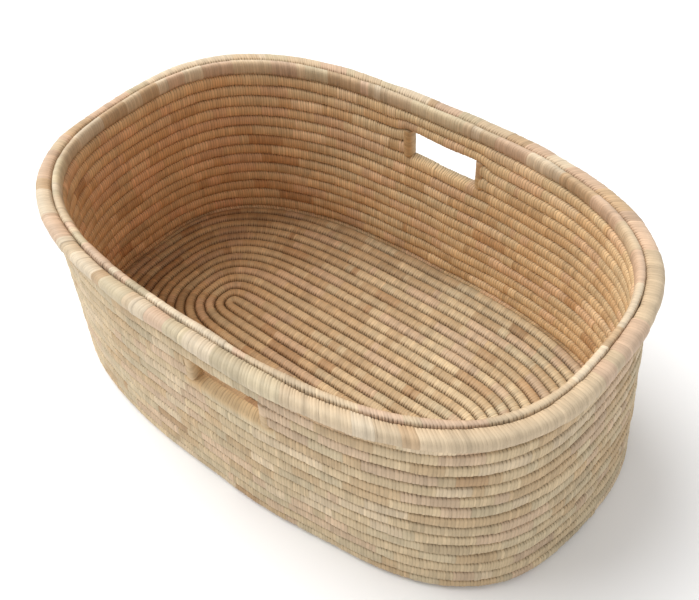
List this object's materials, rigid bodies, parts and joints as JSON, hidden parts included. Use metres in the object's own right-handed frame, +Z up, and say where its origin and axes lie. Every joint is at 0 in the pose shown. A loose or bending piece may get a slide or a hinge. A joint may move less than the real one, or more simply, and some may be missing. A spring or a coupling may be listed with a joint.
{
  "type": "moses basket",
  "caption": "Oval coiled palm-leaf baby basket with near-upright walls, a double rolled rim and bound hand slots in both long sides.",
  "frame": {"origin": "middle of the base's underside, on the surface it stands on", "axes": "+X along the basket's length, +Y across it to the side whose slot is nearer the middle, +Z up"},
  "size_m": [0.8101, 0.517, 0.2952],
  "materials": {
    "floor_leaf": "matte wrapped palm leaf, warm tan",
    "wall_leaf": "matte wrapped palm leaf, beige to greenish straw outside and tan inside",
    "rim_leaf": "matte wrapped palm leaf, pale cream",
    "binding_leaf": "smooth palm-leaf strip"
  },
  "bodies": {
    "root": {"base_coil_02": "floor_leaf", "base_coil_03": "floor_leaf", "base_coil_04": "floor_leaf", "base_coil_05": "floor_leaf", "base_coil_06": "floor_leaf", "base_coil_07": "floor_leaf", "base_coil_08": "floor_leaf", "base_coil_09": "floor_leaf", "base_coil_10": "floor_leaf", "base_coil_11": "floor_leaf", "base_coil_12": "floor_leaf", "base_coil_13": "floor_leaf", "base_coil_14": "floor_leaf", "base_coil_tail": "floor_leaf", "base_core_hairpin": "floor_leaf", "base_edge_coil": "wall_leaf", "far_slot_binding_left": "binding_leaf", "far_slot_binding_right": "binding_leaf", "near_slot_binding_left": "binding_leaf", "near_slot_binding_right": "binding_leaf", "rim_inner_roll": "rim_leaf", "rim_outer_roll": "rim_leaf", "wall_coil_01": "wall_leaf", "wall_coil_02": "wall_leaf", "wall_coil_03": "wall_leaf", "wall_coil_04": "wall_leaf", "wall_coil_05": "wall_leaf", "wall_coil_06": "wall_leaf", "wall_coil_07": "wall_leaf", "wall_coil_08": "wall_leaf", "wall_coil_09": "wall_leaf", "wall_coil_10": "wall_leaf", "wall_coil_11_left": "wall_leaf", "wall_coil_11_right": "wall_leaf", "wall_coil_12_left": "wall_leaf", "wall_coil_12_right": "wall_leaf", "wall_coil_13": "wall_leaf", "wall_coil_14": "wall_leaf"}
  },
  "joints": []
}
